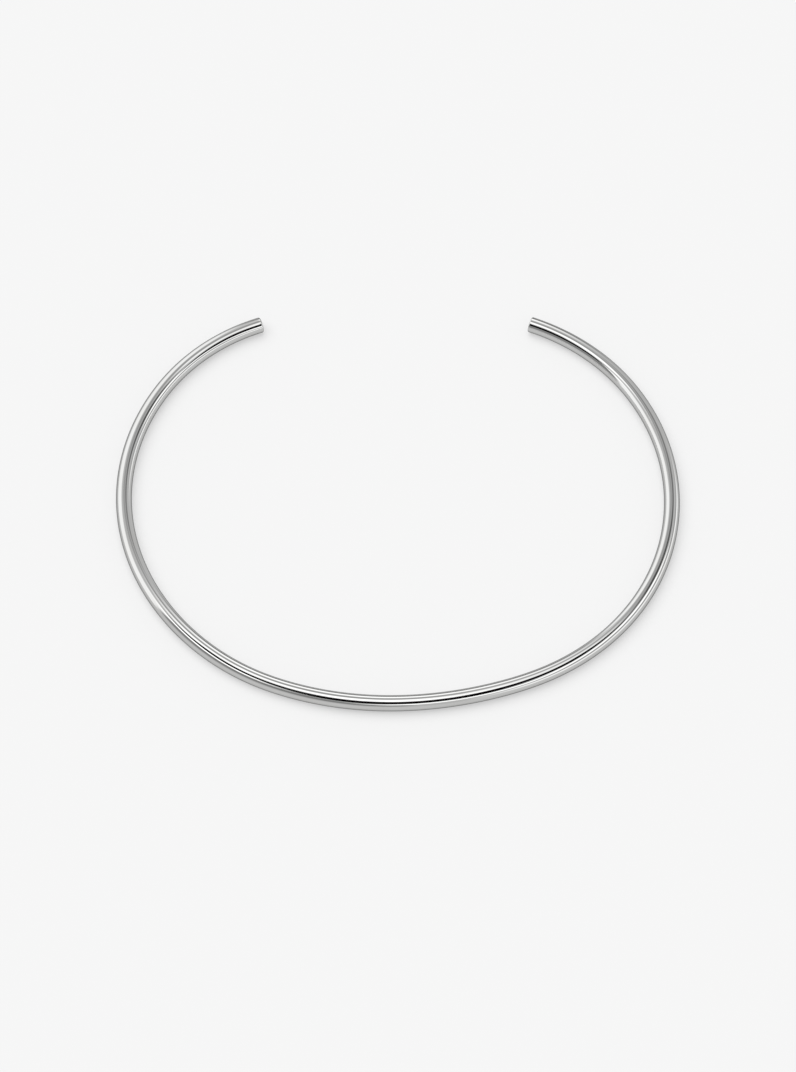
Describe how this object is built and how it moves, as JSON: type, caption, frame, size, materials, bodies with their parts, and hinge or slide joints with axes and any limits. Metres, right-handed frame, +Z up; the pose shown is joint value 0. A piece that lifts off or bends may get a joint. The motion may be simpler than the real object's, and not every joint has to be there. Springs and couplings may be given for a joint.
{
  "type": "collar necklace",
  "caption": "Rigid open collar necklace: a round polished metal rod bent into an oval, with a wide opening at the back between flat-cut tips.",
  "frame": {"origin": "centre of the collar's outline, on the surface that it lies on", "axes": "+Z up off the surface, through the neck hollow; +Y from the front bow to the opening at the back; +X to the wearer's left"},
  "size_m": [0.1356, 0.1112, 0.0038],
  "materials": {
    "polished_metal": "mirror polished, silver-coloured"
  },
  "bodies": {
    "root": {"collar": "polished_metal"}
  },
  "joints": []
}
